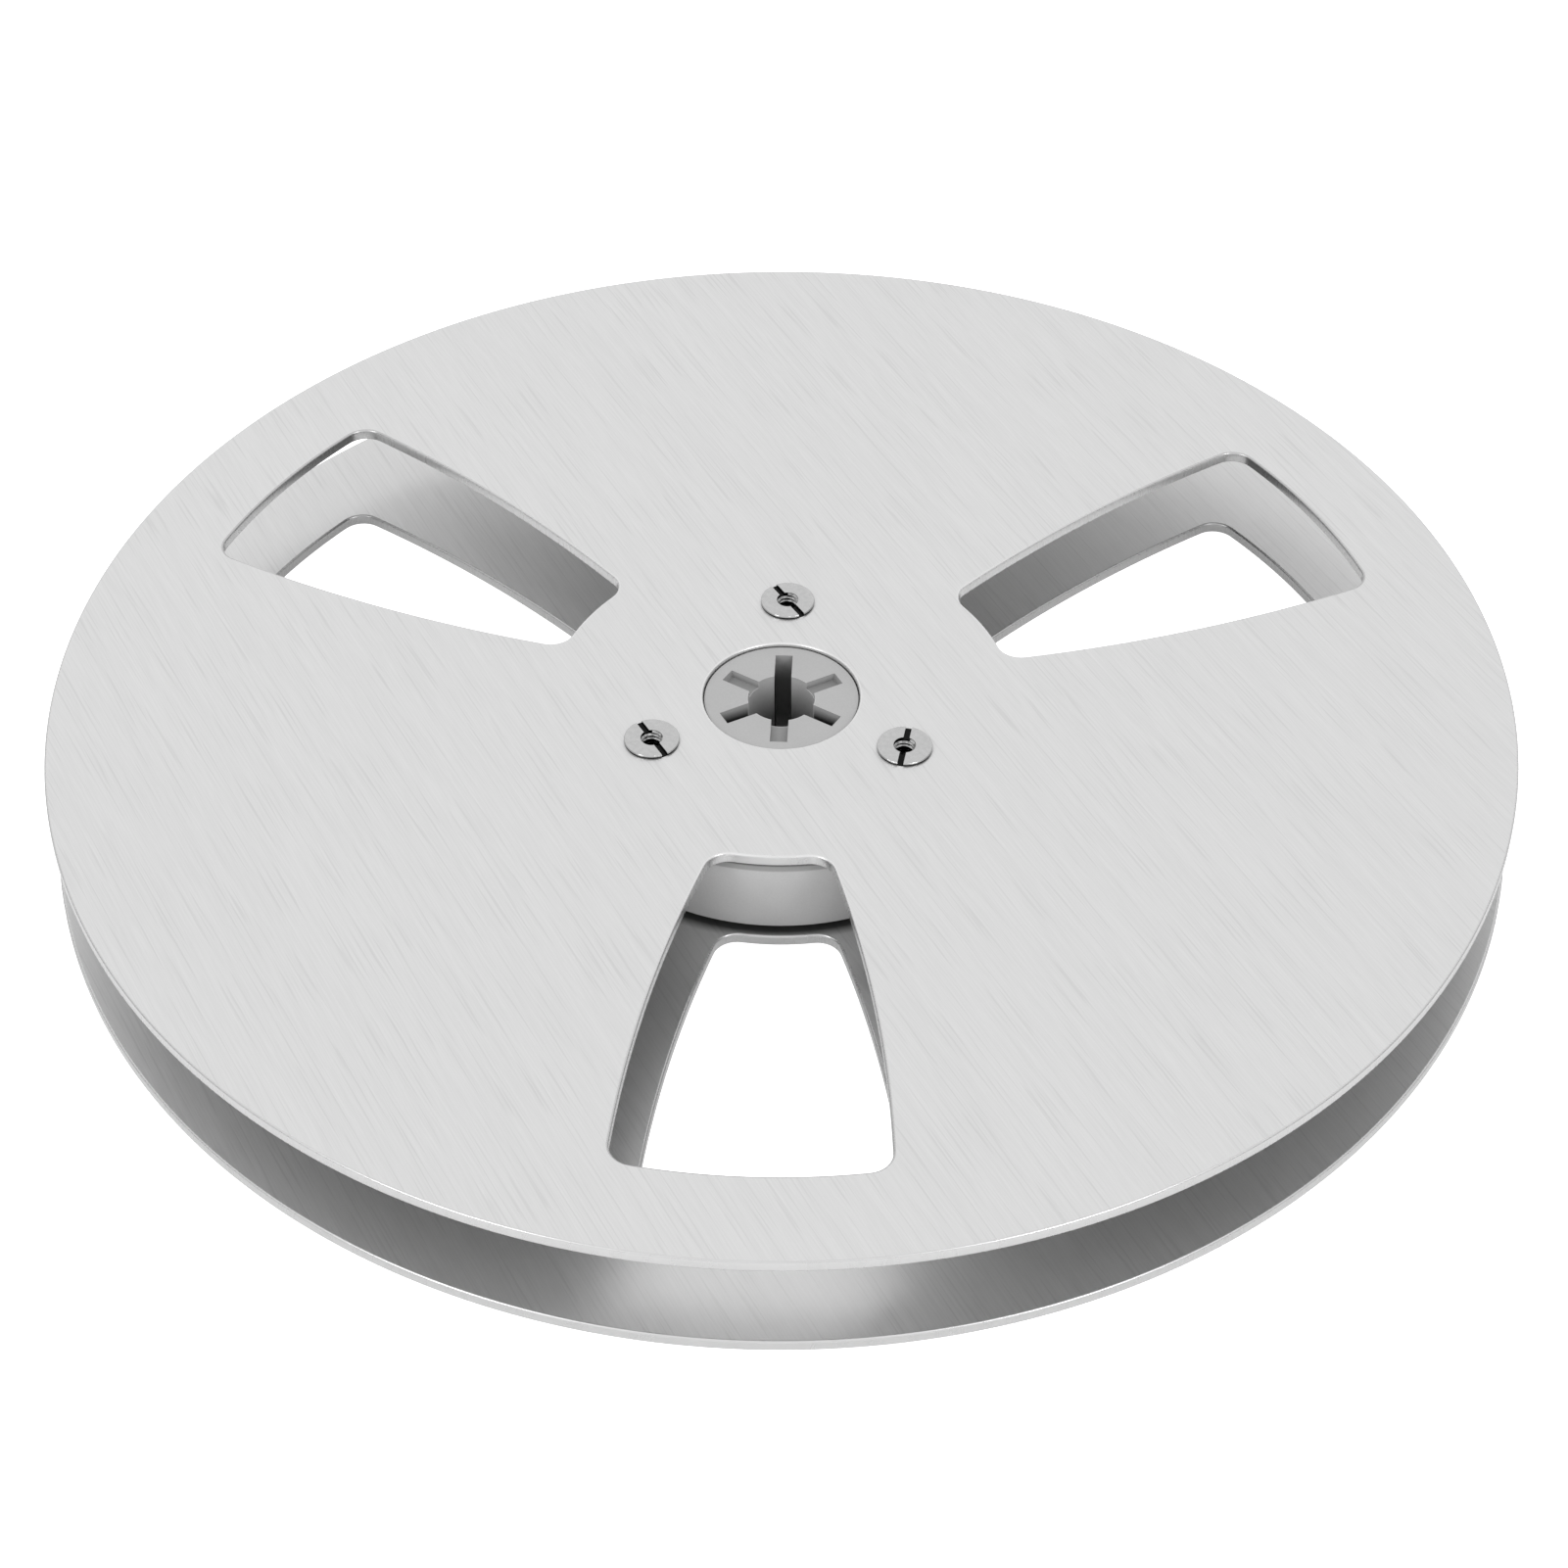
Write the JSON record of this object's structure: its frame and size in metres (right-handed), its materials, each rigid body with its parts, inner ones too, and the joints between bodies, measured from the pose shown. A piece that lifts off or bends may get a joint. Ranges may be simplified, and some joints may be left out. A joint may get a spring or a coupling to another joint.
{
  "type": "open-reel tape spool",
  "caption": "Empty open-reel tape spool with two windowed brushed aluminium flanges, a keyed plastic hub and slotted binding posts.",
  "frame": {"origin": "on the spindle axis, in the plane of the lower screw heads that the reel stands on", "axes": "+Z along the spindle axis, from the screw heads to the binding posts' heads; -Y through the middle of one window of the upper flange"},
  "size_m": [0.1778, 0.1778, 0.0155],
  "materials": {
    "brushed_aluminium": "brushed in straight lines, clear anodised",
    "hub_plastic": "satin, moulded",
    "nickel": "polished nickel plate"
  },
  "bodies": {
    "root": {"top_flange": "brushed_aluminium", "bottom_flange": "brushed_aluminium", "hub": "hub_plastic", "binding_post_1": "nickel", "binding_post_2": "nickel", "binding_post_3": "nickel", "binding_screw_1": "nickel", "binding_screw_2": "nickel", "binding_screw_3": "nickel"}
  },
  "joints": []
}
